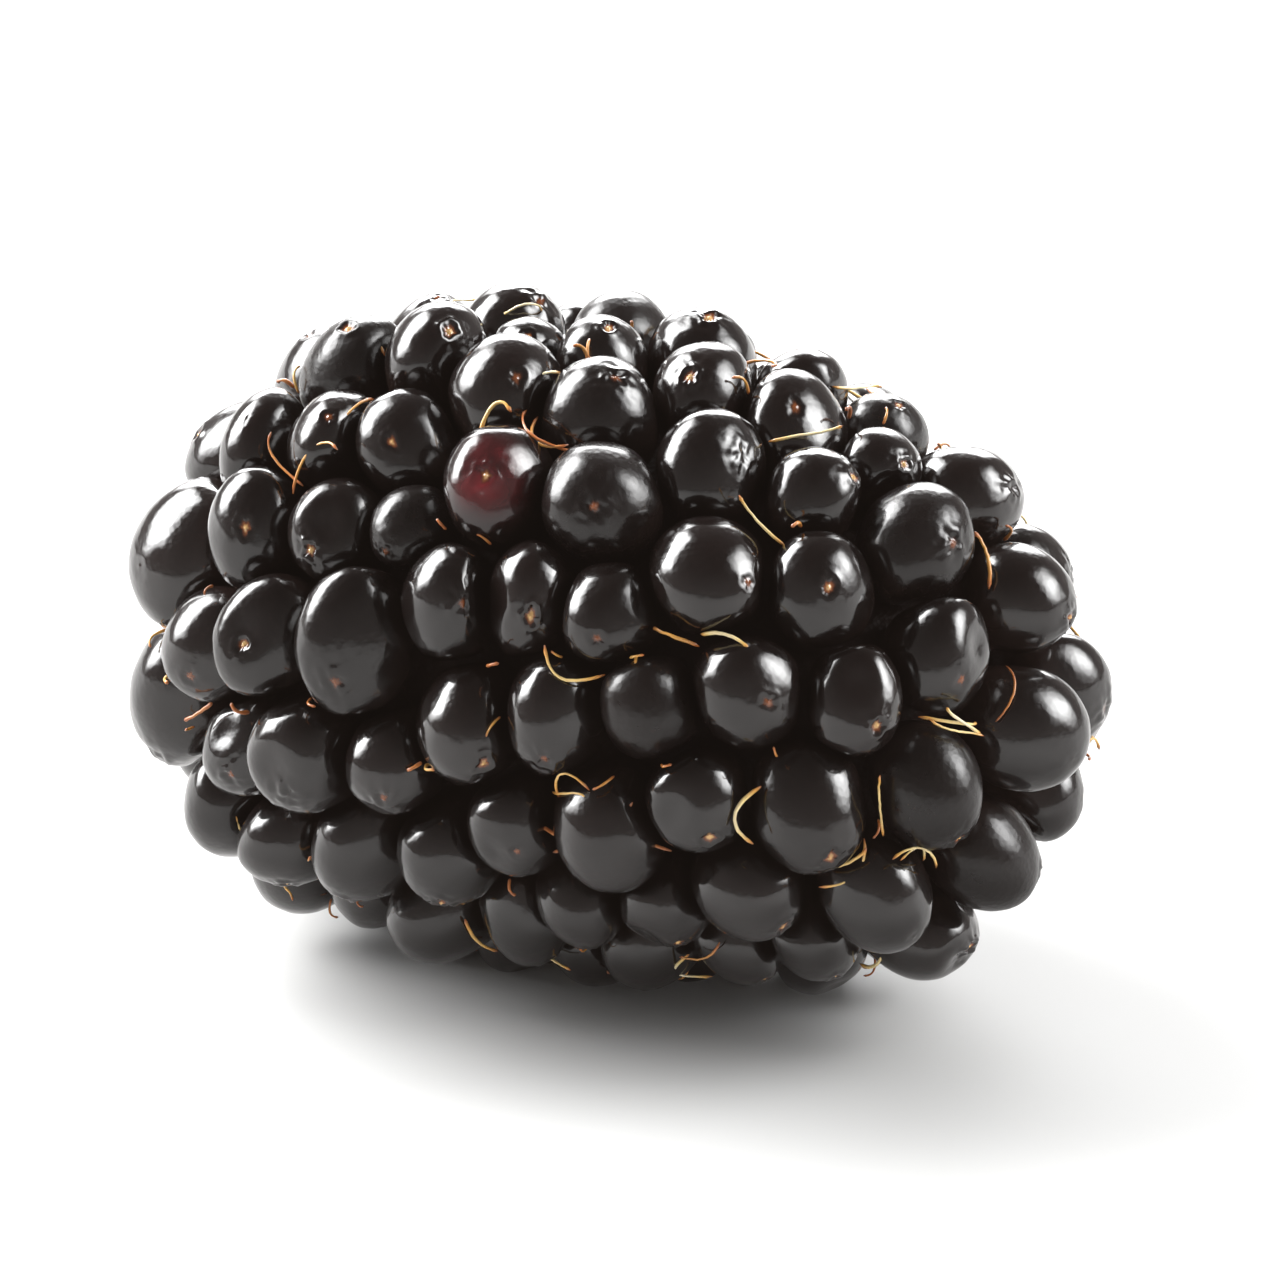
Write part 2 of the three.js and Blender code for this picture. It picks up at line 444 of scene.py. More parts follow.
def lay_down(points):
    """The taper and the bend of the whole berry, and then the way it lies."""
    points = taper_and_bend(points)
    x, y, z = points[..., 0], points[..., 1], points[..., 2]
    y, z = (
        y * math.cos(LYING_ROLL) - z * math.sin(LYING_ROLL),
        y * math.sin(LYING_ROLL) + z * math.cos(LYING_ROLL),
    )
    x, z = (
        x * math.cos(LYING_PITCH) + z * math.sin(LYING_PITCH),
        -x * math.sin(LYING_PITCH) + z * math.cos(LYING_PITCH),
    )
    return np.stack([x, y, z], axis=-1)


def table_shift(laid):
    """Puts the berry in the middle of the solid's box, pressed a little into the table."""
    low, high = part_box("berry")
    middle = (laid.min(axis=(0, 1)) + laid.max(axis=(0, 1))) / 2
    return np.array(
        [
            (low.x + high.x) / 2 - middle[0],
            (low.y + high.y) / 2 - middle[1],
            low.z - FLAT_DEPTH - laid[..., 2].min(),
        ]
    )


# ---- Shapes and meshes --------------------------------------------------------------------------


def hump(distance, width):
    """A smooth hump: 1 in its middle, and next to nothing two widths away."""
    return np.exp(-((distance / width) ** 2))


def soft_least(values, limit, softness):
    """The smaller of two, blended where they are close."""
    share = np.clip(0.5 + 0.5 * (limit - values) / softness, 0, 1)
    return limit + (values - limit) * share - softness * share * (1 - share)


def turned_to(axis):
    """A rotation that takes +Z to the axis."""
    return np.array(Vector((0, 0, 1)).rotation_difference(Vector(axis)).to_matrix())


def ball_directions():
    """Directions of a ball's corners. Its rings run round +Z, and its two poles come last."""
    angles = math.pi * (np.arange(1, RINGS) / RINGS)[:, None] ** RING_CROWDING
    turns = np.arange(SEGMENTS)[None] * 2 * math.pi / SEGMENTS
    rings = np.stack(
        [np.sin(angles) * np.cos(turns), np.sin(angles) * np.sin(turns), np.cos(angles) + 0 * turns],
        axis=-1,
    )
    return np.concatenate([rings.reshape(-1, 3), [[0, 0, 1], [0, 0, -1]]])


def ball_faces():
    faces = []
    top = (RINGS - 1) * SEGMENTS
    bottom = top + 1
    last = (RINGS - 2) * SEGMENTS
    for segment in range(SEGMENTS):
        following = (segment + 1) % SEGMENTS
        faces.append((top, segment, following))
        faces.append((bottom, last + following, last + segment))
        for ring in range(RINGS - 2):
            here, below = ring * SEGMENTS, (ring + 1) * SEGMENTS
            faces.append((here + segment, below + segment, below + following, here + following))
    return faces


def ringed_faces(rings, sides):
    """Faces of a body that is closed at its first and last ring of corners."""
    last = (rings - 1) * sides
    faces = [tuple(reversed(range(sides))), tuple(range(last, last + sides))]
    for ring in range(rings - 1):
        for side in range(sides):
            following = (side + 1) % sides
            here, after = ring * sides, (ring + 1) * sides
            faces.append((here + side, here + following, after + following, after + side))
    return faces


def mesh_piece(name, corners, faces, values, material):
    """A smooth mesh piece that rides on the berry, with named values at its corners."""
    mesh = bpy.data.meshes.new(name)
    mesh.from_pydata(corners.tolist(), [], faces)
    mesh.polygons.foreach_set("use_smooth", [True] * len(mesh.polygons))
    for label, numbers in values.items():
        layer = mesh.attributes.new(label, "FLOAT", "POINT")
        layer.data.foreach_set("value", np.asarray(numbers, np.float32).ravel())
    mesh.materials.append(material)
    piece = bpy.data.objects.new(name, mesh)
    bpy.context.scene.collection.objects.link(piece)
    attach(piece, "root")
    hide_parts("berry")


# ---- The drupelets ------------------------------------------------------------------------------


def room_to_swell(places, sizes):
    """How much larger than usual each drupelet grows, where its neighbours stand further off."""
    apart = (places[:, None] - places[None]) * STRETCH_ALONG
    usual = SETTLED_SPACING * (sizes[:, None] + sizes[None]) / 2
    spacing = np.sort(np.linalg.norm(apart, axis=2) / usual, axis=1)
    return np.clip(spacing[:, 1 : NEIGHBOURS + 1].mean(axis=1), 1, MOST_ROOM)


def lean_over_scar(places):
    """How far each drupelet leans back to the stalk end, to cover the edge of the scar."""
    from_scar = np.linalg.norm(places - SCAR_MIDDLE, axis=1)
    return SCAR_LEAN * np.clip(1 - (from_scar - SCAR_RADIUS) / SCAR_LEAN_REACH, 0, 1)


def drupelet_frames(places):
    """For each drupelet three directions: towards the tip, sideways, and out."""
    out = seat_normals(places)
    tipward = np.array([1.0, 0, 0]) - out * out[:, :1]
    tipward /= np.linalg.norm(tipward, axis=1, keepdims=True)
    side = np.cross(out, tipward)
    return tipward, side, out


def noise_over(directions, fineness, origin):
    """Noise from -1 to 1 in each direction from an origin."""
    return np.array([noise.noise(Vector(direction) * fineness + origin) for direction in directions])


def lumps(directions, origin):
    """Gentle unevenness over one drupelet, with some finer dimpling."""
    return sum(strength * noise_over(directions, fineness, origin) for fineness, strength in LUMP_LAYERS)


def pit_relief(angle, edge, strength):
    """The style pit: a hollow with an uneven raised rim and the style's stump in its middle."""
    hollow = -PIT_DEPTH * hump(angle, PIT_WIDTH * (1 + PIT_UNROUNDNESS * edge))
    rim = RIM_HEIGHT * hump(angle - RIM_PLACE * (1 + RIM_UNROUNDNESS * edge), RIM_WIDTH) * (1 + edge)
    nub = NUB_HEIGHT * hump(angle, NUB_WIDTH)
    return strength * (hollow + rim + nub)


def rugged_relief(directions, angle, origin):
    """Crumpled skin round a style pit."""
    return RUGGED_HEIGHT * noise_over(directions, RUGGED_FINENESS, origin) * hump(angle, RUGGED_WIDTH)


def dent_relief(directions, detail):
    """A broad dent somewhere near the top."""
    middle = np.array([detail.normal(0, DENT_STRAY), detail.normal(0, DENT_STRAY), 1])
    middle /= np.linalg.norm(middle)
    return DENT_DEPTH * hump(np.arccos(np.clip(directions @ middle, -1, 1)), DENT_WIDTH)


def pit_axis(detail):
    """Which way a style pit faces, among towards the tip, sideways and out."""
    tilt = detail.uniform(PIT_LOW_TILT, PIT_HIGH_TILT)
    heading = detail.normal(PIT_HEADING, PIT_HEADING_SPREAD)
    return np.array(
        [math.sin(tilt) * math.cos(heading), math.sin(tilt) * math.sin(heading), math.cos(tilt)]
    )


def drupelet_swell(directions, angle, edge, origin, strength, detail):
    """How far the skin stands out in each direction, as a share of a plain drupelet's."""
    swell = 1 + LUMP_HEIGHT * lumps(directions, origin)
    swell += pit_relief(angle, edge, strength)
    if detail.random() < RUGGED_SHARE:
        swell += rugged_relief(directions, angle, origin)
    if detail.random() < DENTED_SHARE:
        swell -= dent_relief(directions, detail)
    return swell


def drupelet_form(directions, swell, size, room, over_scar, detail):
    """How far each corner stands from the drupelet's place: towards the tip, sideways and out."""
    uneven = detail.normal(0, UNEVEN_SHAPE)
    lean = detail.normal(0, LEAN, 2) - np.array([over_scar, 0])
    height = np.where(directions[:, 2] > 0, CROWN_HEIGHT * size, ROOT_DEPTH)
    slimming = 1 - ROOT_SLIMMING * np.minimum(directions[:, 2], 0) ** 2
    half_length = size * room * (1 + uneven) * DRUPELET_LENGTH / 2
    half_breadth = size * room * BREADTH_SWELL * (1 - uneven) * DRUPELET_BREADTH / 2
    up = directions[:, 2] * swell * HEIGHT_SWELL * height
    forward = directions[:, 0] * swell * slimming * half_length + lean[0] * np.maximum(up, 0)
    sideways = directions[:, 1] * swell * slimming * half_breadth + lean[1] * np.maximum(up, 0)
    return forward, sideways, up


def drupelet_points(places, sizes, stands, spins, detail):
    """Every drupelet's corners before the berry is laid down, and masks for its colours."""
    base = ball_directions()
    angle = np.arccos(np.clip(base[:, 2], -1, 1))
    turns = np.arctan2(base[:, 1], base[:, 0])
    round_pit = np.stack([np.cos(turns), np.sin(turns), 0 * turns], axis=1)
    frames = drupelet_frames(places)
    rooms = room_to_swell(places, sizes)
    over_scar = lean_over_scar(places)
    shapes, scars, blushes, root_pale_and_gap_light = [], [], [], []
    for index, place in enumerate(places):
        directions = base @ turned_to(pit_axis(detail)).T
        origin = Vector((index * NOISE_STEP[0], index * NOISE_STEP[1], spins[index]))
        edge = noise_over(round_pit, PIT_EDGE_FINENESS, origin)
        strength = detail.choice(PIT_STRENGTHS)
        swell = drupelet_swell(directions, angle, edge, origin, strength, detail)
        forward, sideways, up = drupelet_form(
            directions, swell, sizes[index], rooms[index], over_scar[index], detail
        )
        tipward, side, out = (axes[index] for axes in frames)
        across = np.outer(forward, tipward) + np.outer(sideways, side)
        shapes.append(place + across + np.outer(up + stands[index], out))
        spread = PIT_SCAR_SPREAD * (1 + PIT_SCAR_UNROUNDNESS * edge)
        scars.append(min(strength, 1) * hump(angle, spread))
        blushes.append((index in BLUSHED) * hump(angle, BLUSH_SPREAD))
        # Paler towards the base, in the shaded gaps: partly real colour, partly painted light.
        root_pale_and_gap_light.append(np.clip((ROOT_PALE_AND_GAP_LIGHT_FROM - directions[:, 2]) / (1 + ROOT_PALE_AND_GAP_LIGHT_FROM), 0, 1))
    masks = {"scar": np.array(scars), "blush": np.array(blushes), "root": np.array(root_pale_and_gap_light)}
    return np.array(shapes), masks


def press_together(shapes, places, sizes):
    """Flattens each drupelet where it leans on a neighbour."""
    pressed = shapes.copy()
    for index, place in enumerate(places):
        for other, there in enumerate(places):
            distance = np.linalg.norm(there - place)
            if other == index or distance > CONTACT_REACH:
                continue
            towards = (there - place) / distance
            limit = distance * sizes[index] / (sizes[index] + sizes[other]) - CONTACT_GAP / 2
            reach = (pressed[index] - place) @ towards
            shorter = soft_least(reach, limit, CONTACT_SOFTNESS)
            pressed[index] += np.outer(shorter - reach, towards)
    return pressed


def make_drupelets(places, sizes, stands, spins, grain, detail):
    """The drupelets in pieces from the stalk end to the tip. Returns how far they were moved."""
    shapes, masks = drupelet_points(places, sizes, stands, spins, detail)
    laid = lay_down(press_together(shapes, places, sizes))
    shift = table_shift(laid)
    laid = laid + shift
    laid[..., 2] = -soft_least(-laid[..., 2], 0, TABLE_SOFTNESS)
    count, corners = laid.shape[:2]
    tone = detail.random(count)
    dulled = detail.random(count) < DULL_SHARE
    duller = detail.uniform(DULL_FROM, 1, count)
    glossier = detail.uniform(0, DULL_FROM, count) ** 2
    dull = np.where(dulled, duller, glossier)
    masks["tone"] = np.repeat(tone[:, None], corners, axis=1)
    masks["dull"] = np.repeat(dull[:, None], corners, axis=1)
    material = skin_material(grain)
    ends = np.linspace(0, count, len(DRUPELET_PIECES) + 1).astype(int)
    for name, first, last in zip(DRUPELET_PIECES, ends, ends[1:]):
        faces = [
            tuple(corner + corners * offset for corner in face)
            for offset in range(last - first)
            for face in ball_faces()
        ]
        values = {label: mask[first:last] for label, mask in masks.items()}
        mesh_piece(name, laid[first:last].reshape(-1, 3), faces, values, material)
    return shift


# ---- The receptacle -----------------------------------------------------------------------------


def receptacle_rings():
    """Each ring's place along the berry, its radius, and its place from the scar to the tip."""
    rings = []
    for share in np.linspace(SCAR_FIRST_RING, 1, SCAR_RINGS):
        boss = SCAR_BOSS * hump(share, SCAR_BOSS_SHARE)
        x = SCAR_INSET - SEAT_HALF_LENGTH + SCAR_DISH * (1 - share**2) - boss
        rings.append((x, SCAR_RADIUS * share, share))
    half_length = SEAT_HALF_LENGTH - RECEPTACLE_INSET
    half_width = SEAT_HALF_WIDTH - RECEPTACLE_INSET
    for share in np.linspace(0, NEARLY_TIP, RECEPTACLE_STEPS):
        x, radius = outline(share, half_length, half_width)
        if x > 0 or radius > SCAR_RADIUS:
            rings.append((x, radius, 1 + share))
    return rings


def receptacle_marks(y, z, share):
    """Noise at a place: strands that run out from the scar's middle, broad patches, and specks."""
    around, along = STRAND_FINENESS
    strands = noise.noise(Vector((y * around, z * around, share * along)))
    around, along = PATCH_FINENESS
    patches = noise.noise(Vector((y * around, z * around, share * along)))
    specks = noise.noise(Vector((y * share, z * share, share)) * SPECK_FINENESS)
    return strands, patches, specks


def torn_corner(x, radius, y, z, share, marks):
    """Where a corner of the scar ends up: ridged and torn towards its ragged edge."""
    strands, patches, specks = marks
    torn = share**2 * (SCAR_RIDGES * strands + SCAR_TEARS * patches) + SCAR_GRAIN * specks
    edge = 1 + SCAR_RAGGED * share**4 * (patches + SCAR_RAGGED_STRANDS * strands)
    return x + torn, radius * edge * y, radius * edge * z


def make_receptacle(grain, shift):
    """The body that the drupelets stand on, with the scar at its stalk end."""
    rings = receptacle_rings()
    corners, pale, stain, fibre = [], [], [], []
    for x, radius, share in rings:
        for side in range(RECEPTACLE_SIDES):
            turn = 2 * math.pi * side / RECEPTACLE_SIDES
            y, z = math.cos(turn), math.sin(turn)
            marks = receptacle_marks(y, z, share)
            strands, patches, specks = marks
            if share <= 1:
                corners.append(torn_corner(x, radius, y, z, share, marks))
            else:
                corners.append((x, radius * y, radius * z))
            # 1 on the scar, and 0 on the body between the drupelets, which is painted near-black as
            # shade.
            pale.append(float(share <= 1))
            stained = share - STAIN_FROM + STAIN_PATCHES * patches + STAIN_STREAKS * strands
            stain.append(min(max(stained * STAIN_STEEPNESS, 0), MOST_STAIN))
            fibrous = USUAL_FIBRE + FIBRE_STREAKS * strands * share + FIBRE_SPECKS * specks
            fibre.append(min(max(fibrous, 0), 1))
    faces = ringed_faces(len(rings), RECEPTACLE_SIDES)
    laid = lay_down(np.array(corners)) + shift
    values = {"pale": pale, "stain": stain, "fibre": fibre}
    mesh_piece("receptacle", laid, faces, values, flesh_material(grain))


# ---- The styles ---------------------------------------------------------------------------------


def grooves(places):
    """For each pair of neighbours: the middle of their groove, its length's way, across it, and out."""
    out = seat_normals(places)
    found = []
    for first in range(len(places)):
        for second in range(first + 1, len(places)):
            across = places[second] - places[first]
            distance = np.linalg.norm(across)
            if distance < POCKET_REACH:
                up = out[first] + out[second]
                up /= np.linalg.norm(up)
                across = across / distance
                found.append(((places[first] + places[second]) / 2, np.cross(up, across), across, up))
    return found


def curve_through(controls):
    """Points of the cubic curve with these four controls."""
    share = np.linspace(0, 1, THREAD_STEPS)[:, None]
    a, b, c, d = controls
    rest = 1 - share
    return rest**3 * a + 3 * rest**2 * share * b + 3 * rest * share**2 * c + share**3 * d


def thread_path(groove, detail):
    """A dry thread that lies along a groove: nearly straight, bowed, or hooked at its free end."""
    middle, along, across, up = groove
    along = along * detail.choice([-1, 1])
    bow, hook = THREAD_HABITS[detail.choice(len(THREAD_HABITS), p=HABIT_SHARES)]
    reach = detail.uniform(*THREAD_REACHES)
    slides = (SLIDES + SLIDES_HOOKED * hook) * reach + detail.normal(0, SLIDE_STRAY, 4)
    heights = detail.uniform(LOWEST_HEIGHTS, HIGHEST_HEIGHTS)
    drifts = DRIFTS_BOWED * bow + DRIFTS_HOOKED * hook
    drifts = drifts * detail.choice([-1, 1]) + detail.normal(0, DRIFT_STRAY, 4)
    controls = [
        middle + (up * height + along * slide + across * drift) * MM
        for height, slide, drift in zip(heights, slides, drifts)
    ]
    wobble = detail.normal(0, THREAD_WOBBLE, (THREAD_STEPS, 3))
    return curve_through(controls) + wobble


def stub_path(groove, detail):
    """A short broken thread that stands in a groove, hooked over at its top."""
    middle, along, across, up = groove
    slide = detail.normal(0, STUB_SLIDE_STRAY)
    foot = middle + (along * slide + up * detail.uniform(*STUB_HEIGHTS)) * MM
    turn = detail.uniform(0, 2 * math.pi)
    sideways = along * math.cos(turn) + across * math.sin(turn)
    length = detail.uniform(*STUB_LENGTHS)
    controls = [foot + (up * rise + sideways * lean) * length * MM for rise, lean in STUB_FORM]
    return curve_through(controls)


def thread_radii(detail):
    """Thinner towards the free end, which has a small knob, with slight swellings between."""
    share = np.linspace(0, 1, THREAD_STEPS)
    taper = ROOT_THICKNESS - TAPER * share
    knob = KNOB_HEIGHT * hump(share - KNOB_PLACE, KNOB_WIDTH)
    waves = WAVE_HEIGHT * np.sin(share * detail.uniform(*WAVE_PACES) + detail.uniform(*WAVE_STARTS))
    ends = np.minimum(np.minimum(share, 1 - share) * END_STEEPNESS + END_THICKNESS, 1)
    return THREAD_RADIUS * detail.uniform(*THICKNESSES) * (taper + knob + waves) * ends


def thread_corners(path, radii):
    """Rings of corners round a path."""
    directions = np.gradient(path, axis=0)
    directions /= np.linalg.norm(directions, axis=1, keepdims=True)
    side = np.cross(directions[0], SIDE_HINT)
    corners = []
    for point, direction, radius in zip(path, directions, radii):
        side = side - direction * (side @ direction)
        side /= np.linalg.norm(side)
        other = np.cross(direction, side)
        for step in range(THREAD_SIDES):
            turn = 2 * math.pi * step / THREAD_SIDES
            corners.append(point + radius * (math.cos(turn) * side + math.sin(turn) * other))
    return corners


def make_styles(places, grain, detail, shift):
    """Dry styles, whole or broken, in the grooves between the drupelets."""
    found = grooves(places)
    paths = [thread_path(found[detail.randint(len(found))], detail) for _ in range(THREAD_COUNT)]
    paths += [stub_path(found[detail.randint(len(found))], detail) for _ in range(STUB_COUNT)]
    fading = 1 - ENDS_DARKER * np.abs(np.linspace(-1, 1, THREAD_STEPS)) ** 3
    thread_faces = ringed_faces(THREAD_STEPS, THREAD_SIDES)
    corners, faces, tones = [], [], []
    for number, path in enumerate(paths):
        start = len(corners)
        corners.extend(thread_corners(path, thread_radii(detail)))
        faces.extend(tuple(corner + start for corner in face) for face in thread_faces)
        dimmest, brightest = THREAD_TONES if number < THREAD_COUNT else STUB_TONES
        tone = detail.uniform(dimmest, brightest) * fading
        tones.extend(np.repeat(tone, THREAD_SIDES))
    laid = lay_down(np.array(corners)) + shift
    laid[:, 2] = np.maximum(laid[:, 2], 0)
    mesh_piece("styles", laid, faces, {"tone": tones}, style_material(grain))


# ---- Parts of materials -------------------------------------------------------------------------


def feed(tree, socket, value):
    """Links a socket to another one, or sets it to a number or a colour."""
    if isinstance(value, bpy.types.NodeSocket):
        tree.links.new(value, socket)
    else:
        socket.default_value = value


def linked(tree, kind, **inputs):
    """A new node with its inputs fed. In a name here, _ stands for a space."""
    node = tree.nodes.new(kind)
    for name, value in inputs.items():
        feed(tree, node.inputs[name.replace("_", " ")], value)
    return node


def reckoned(tree, operation, *values):
    """The result of a sum on sockets and numbers."""
    node = tree.nodes.new("ShaderNodeMath")
    node.operation = operation
    for socket, value in zip(node.inputs, values):
        feed(tree, socket, value)
    return node.outputs[0]


def blended(tree, share, first, second):
    """Two colours mixed by a share."""
    node = tree.nodes.new("ShaderNodeMix")
    node.data_type = "RGBA"
    sockets = (node.inputs[0], node.inputs[6], node.inputs[7])
    for socket, value in zip(sockets, (share, first, second)):
        feed(tree, socket, value)
    return node.outputs[2]


def ramp(tree, share, stops):
    """A colour that runs through the stops as the share goes from 0 to 1."""
    node = tree.nodes.new("ShaderNodeValToRGB")
    tree.links.new(share, node.inputs["Fac"])
    elements = node.color_ramp.elements
    while len(elements) < len(stops):
        elements.new(0.5)
    for element, (position, colour) in zip(elements, stops):
        element.position = position
        element.color = colour
    return node.outputs["Color"]


def corner_value(tree, label):
    node = tree.nodes.new("ShaderNodeAttribute")
    node.attribute_name = label
    return node.outputs["Fac"]


def object_noise(tree, scale):
    """Noise of this scale that stays with the object."""
    where = tree.nodes.new("ShaderNodeTexCoord").outputs["Object"]
    return linked(tree, "ShaderNodeTexNoise", Vector=where, Scale=scale).outputs["Fac"]


def mask_between(tree, value, low, high):
    """A mask that is 0 where the value is below the low one, and 1 where it is above the high one."""
    mask = linked(tree, "ShaderNodeMapRange", Value=value, From_Min=low, From_Max=high)
    return mask.outputs["Result"]


def grain_group():
    """Fine cells and broad ripples of a fruit's skin: a height, and a mask for colour."""
    group = bpy.data.node_groups.new("fruit_grain", "ShaderNodeTree")
    for label in GRAIN_SETTINGS:
        group.interface.new_socket(label, in_out="INPUT", socket_type="NodeSocketFloat")
    group.interface.new_socket("Height", in_out="OUTPUT", socket_type="NodeSocketFloat")
    group.interface.new_socket("Mask", in_out="OUTPUT", socket_type="NodeSocketFloat")
    entry = group.nodes.new("NodeGroupInput").outputs
    leaving = group.nodes.new("NodeGroupOutput").inputs
    where = group.nodes.new("ShaderNodeTexCoord").outputs["Object"]
    cells = linked(group, "ShaderNodeTexVoronoi", Vector=where, Scale=entry["Cell Scale"])
    ripples = linked(
        group,
        "ShaderNodeTexNoise",
        Vector=where,
        Scale=entry["Ripple Scale"],
        Detail=3,
        Roughness=0.55,
    )
    height = linked(
        group,
        "ShaderNodeMix",
        Factor=entry["Ripple Share"],
        A=cells.outputs["Distance"],
        B=ripples.outputs["Fac"],
    )
    group.links.new(height.outputs["Result"], leaving["Height"])
    group.links.new(ripples.outputs["Fac"], leaving["Mask"])
    return group


def placed_grain(tree, group, settings):
    """The grain with one material's own settings: its height and its mask."""
    node = tree.nodes.new("ShaderNodeGroup")
    node.node_tree = group
    for label, value in zip(GRAIN_SETTINGS, settings):
        node.inputs[label].default_value = value
    return node.outputs["Height"], node.outputs["Mask"]


def new_material(name):
    material = bpy.data.materials.new(name)
    material.use_nodes = True
    shader = material.node_tree.nodes["Principled BSDF"]
    return material, material.node_tree, shader


def give_relief(tree, shader, height, relief):
    """Gives a material its fine relief."""
    strength, depth = relief
    bump = linked(tree, "ShaderNodeBump", Strength=strength, Distance=depth, Height=height)
    tree.links.new(bump.outputs["Normal"], shader.inputs["Normal"])


# ---- Materials ----------------------------------------------------------------------------------


def skin_material(grain):
    """Glossy near-black skin, paler at the bases partly as painted light in the shaded gaps. Some
    drupelets are duller, and a few still have a red blush.
    """
    material, tree, shader = new_material("drupelet_skin")
    height, mask = placed_grain(tree, grain, SKIN_GRAIN)
    body = blended(tree, corner_value(tree, "tone"), SKIN_DARKEST, SKIN_LIGHTEST)
    body = blended(tree, mask, body, SKIN_MOTTLE)
    # Paler towards the bases in the shaded gaps: partly real colour, partly painted light.
    body = blended(tree, corner_value(tree, "root"), body, SKIN_ROOT_PALE_AND_GAP_LIGHT)
    patches = mask_between(tree, object_noise(tree, BLUSH_PATCHES), *BLUSH_PATCH_EDGE)
    blush = reckoned(tree, "MULTIPLY", corner_value(tree, "blush"), patches)
    body = blended(tree, blush, body, SKIN_BLUSH)
    scar = corner_value(tree, "scar")
    scarred = mask_between(tree, scar, *PIT_SCAR_EDGE)
    body = blended(tree, scarred, body, ramp(tree, scar, PIT_SCAR_COLOURS))
    tree.links.new(body, shader.inputs["Base Color"])
    dull = corner_value(tree, "dull")
    rough = reckoned(tree, "MULTIPLY_ADD", dull, DULL_ROUGHNESS, SKIN_ROUGHNESS)
    rough = reckoned(tree, "MULTIPLY_ADD", mask, SKIN_MOTTLE_ROUGHNESS, rough)
    tree.links.new(rough, shader.inputs["Roughness"])
    coat = reckoned(tree, "MULTIPLY_ADD", dull, -DULL_COAT_LOSS, 1)
    tree.links.new(coat, shader.inputs["Coat Weight"])
    shader.inputs["IOR"].default_value = 1.45
    shader.inputs["Coat Roughness"].default_value = 0.055
    shader.inputs["Coat IOR"].default_value = 1.5
    give_relief(tree, shader, height, SKIN_RELIEF)
    return material


def flesh_material(grain):
    """The receptacle: near-black between the drupelets as painted shade in the gaps, pale and fibrous at
    the scar.
    """
    material, tree, shader = new_material("receptacle_flesh")
    height, mask = placed_grain(tree, grain, FLESH_GRAIN)
    pale = blended(tree, corner_value(tree, "fibre"), FLESH_CREAM, FLESH_FIBRE)
    pale = blended(tree, reckoned(tree, "MULTIPLY", mask, FLESH_MOTTLE_SHARE), pale, FLESH_BROWNED)
    pale = blended(tree, corner_value(tree, "stain"), pale, FLESH_STAIN)
    # Near-black between the drupelets: painted shade in the gaps.
    gap_shade = blended(tree, mask, FLESH_GAP_SHADE_DARKEST, FLESH_GAP_SHADE)
    tree.links.new(blended(tree, corner_value(tree, "pale"), gap_shade, pale), shader.inputs["Base Color"])
    rough = reckoned(tree, "MULTIPLY_ADD", mask, FLESH_MOTTLE_ROUGHNESS, FLESH_ROUGHNESS)
    tree.links.new(rough, shader.inputs["Roughness"])
    shader.inputs["Specular IOR Level"].default_value = 0.15
    give_relief(tree, shader, height, FLESH_RELIEF)
    return material


def style_material(grain):
    """Dry flower threads: golden straw on the bright ones, rusty brown on the rest."""
    material, tree, shader = new_material("dry_style")
    height, mask = placed_grain(tree, grain, STYLE_GRAIN)
    colour = ramp(tree, corner_value(tree, "tone"), STYLE_COLOURS)
    colour = blended(tree, reckoned(tree, "MULTIPLY", mask, STYLE_MOTTLE_SHARE), colour, STYLE_RUST)
    tree.links.new(colour, shader.inputs["Base Color"])
    rough = reckoned(tree, "MULTIPLY_ADD", mask, STYLE_MOTTLE_ROUGHNESS, STYLE_ROUGHNESS)
    tree.links.new(rough, shader.inputs["Roughness"])
    shader.inputs["Coat Weight"].default_value = 0.7
    shader.inputs["Coat Roughness"].default_value = 0.15
    give_relief(tree, shader, height, STYLE_RELIEF)
    return material


def floor_material():
    """Pale and nearly even, and a little darker where the glossy skin mirrors it."""
    material, tree, shader = new_material("pale_floor")
    colour = blended(tree, object_noise(tree, FLOOR_MOTTLE), FLOOR_GREY, FLOOR_PALE)
    ray = tree.nodes.new("ShaderNodeLightPath")
    colour = blended(tree, ray.outputs["Is Glossy Ray"], colour, FLOOR_MIRRORED)
    tree.links.new(colour, shader.inputs["Base Color"])
    shader.inputs["Roughness"].default_value = 0.7
    shader.inputs["Specular IOR Level"].default_value = 0.2
    return material


# ---- Studio -------------------------------------------------------------------------------------


def studio_direction(right, away, up):
    """A direction given as the camera's operator would: to the right, away from them, and up."""
    sine, cosine = math.sin(VIEW_AZIMUTH), math.cos(VIEW_AZIMUTH)
    return Vector((right * cosine - away * sine, right * sine + away * cosine, up)).normalized()


def fade_edges(light, feather):
    """Lets a light fade towards its edges, over this share of its width and length."""
    light.use_nodes = True
    tree = light.node_tree
    across = tree.nodes.new("ShaderNodeSeparateXYZ")
    tree.links.new(tree.nodes.new("ShaderNodeNewGeometry").outputs["Parametric"], across.inputs[0])
    shares = []
    for axis in ("X", "Y"):
        from_edge = reckoned(tree, "PINGPONG", across.outputs[axis], 0.5)
        fade = linked(tree, "ShaderNodeMapRange", Value=from_edge, From_Max=feather)
        fade.interpolation_type = "SMOOTHSTEP"
        shares.append(fade.outputs["Result"])
    tree.links.new(reckoned(tree, "MULTIPLY", *shares), tree.nodes["Emission"].inputs["Strength"])


